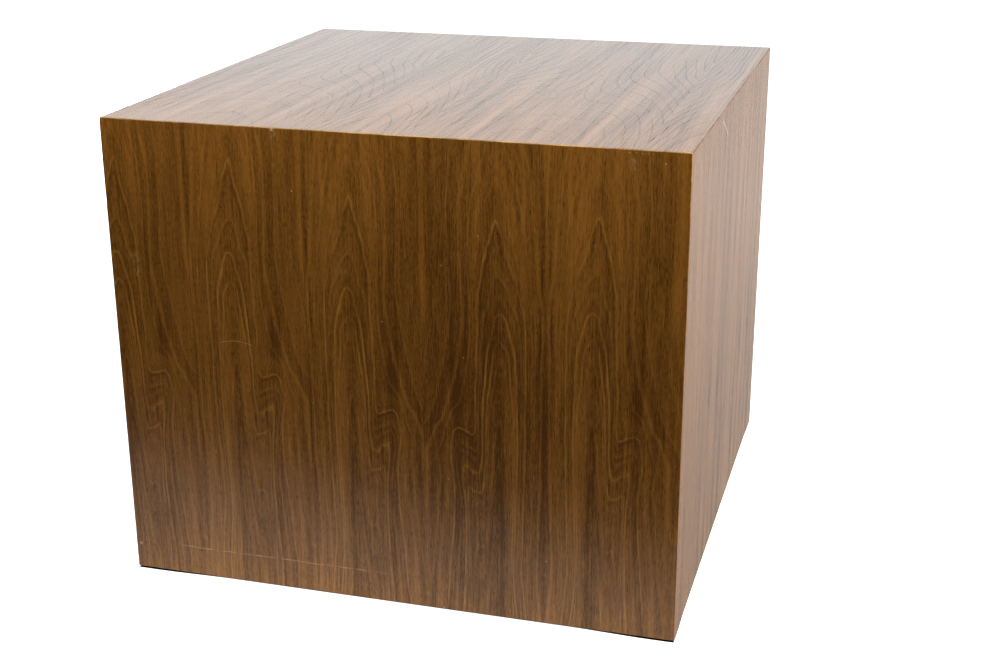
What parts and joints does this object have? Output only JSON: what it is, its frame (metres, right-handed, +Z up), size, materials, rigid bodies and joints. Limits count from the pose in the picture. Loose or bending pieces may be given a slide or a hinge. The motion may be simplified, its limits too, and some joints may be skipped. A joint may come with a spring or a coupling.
{
  "type": "display cube plinth",
  "caption": "Walnut-veneered museum display cube: a mitred five-sided box with an open underside, inner posts and rails, standing on low nail-on glides.",
  "frame": {"origin": "on the floor under the glides, in the middle of the square plan", "axes": "+Z up, the front face towards -Y and the right face towards +X"},
  "size_m": [0.762, 0.762, 0.643],
  "materials": {
    "walnut_veneer": "satin lacquer over book-matched walnut veneer",
    "core_board": "raw particle board",
    "backing_veneer": "plain unlacquered veneer",
    "spline_plywood": "raw birch plywood",
    "softwood": "planed unfinished pine",
    "glide_steel": "nickel-plated, scuffed underneath"
  },
  "bodies": {
    "root": {"front_backing_veneer": "backing_veneer", "front_base_rail": "softwood", "front_core_board": "core_board", "front_left_corner_post": "softwood", "front_left_glide": "glide_steel", "front_left_mitre_spline": "spline_plywood", "front_right_corner_post": "softwood", "front_right_glide": "glide_steel", "front_right_mitre_spline": "spline_plywood", "front_top_mitre_spline": "spline_plywood", "front_top_rail": "softwood", "front_veneer_leaf_1": "walnut_veneer", "front_veneer_leaf_2": "walnut_veneer", "front_veneer_leaf_3": "walnut_veneer", "front_veneer_leaf_4": "walnut_veneer", "front_veneer_leaf_5": "walnut_veneer", "left_backing_veneer": "backing_veneer", "left_base_rail": "softwood", "left_core_board": "core_board", "left_top_mitre_spline": "spline_plywood", "left_top_rail": "softwood", "left_veneer_leaf_1": "walnut_veneer", "left_veneer_leaf_2": "walnut_veneer", "left_veneer_leaf_3": "walnut_veneer", "left_veneer_leaf_4": "walnut_veneer", "left_veneer_leaf_5": "walnut_veneer", "rear_backing_veneer": "backing_veneer", "rear_base_rail": "softwood", "rear_core_board": "core_board", "rear_left_corner_post": "softwood", "rear_left_glide": "glide_steel", "rear_left_mitre_spline": "spline_plywood", "rear_right_corner_post": "softwood", "rear_right_glide": "glide_steel", "rear_right_mitre_spline": "spline_plywood", "rear_top_mitre_spline": "spline_plywood", "rear_top_rail": "softwood", "rear_veneer_leaf_1": "walnut_veneer", "rear_veneer_leaf_2": "walnut_veneer", "rear_veneer_leaf_3": "walnut_veneer", "rear_veneer_leaf_4": "walnut_veneer", "rear_veneer_leaf_5": "walnut_veneer", "right_backing_veneer": "backing_veneer", "right_base_rail": "softwood", "right_core_board": "core_board", "right_top_mitre_spline": "spline_plywood", "right_top_rail": "softwood", "right_veneer_leaf_1": "walnut_veneer", "right_veneer_leaf_2": "walnut_veneer", "right_veneer_leaf_3": "walnut_veneer", "right_veneer_leaf_4": "walnut_veneer", "right_veneer_leaf_5": "walnut_veneer", "top_backing_veneer": "backing_veneer", "top_core_board": "core_board", "top_veneer_leaf_1": "walnut_veneer", "top_veneer_leaf_2": "walnut_veneer", "top_veneer_leaf_3": "walnut_veneer", "top_veneer_leaf_4": "walnut_veneer"}
  },
  "joints": []
}
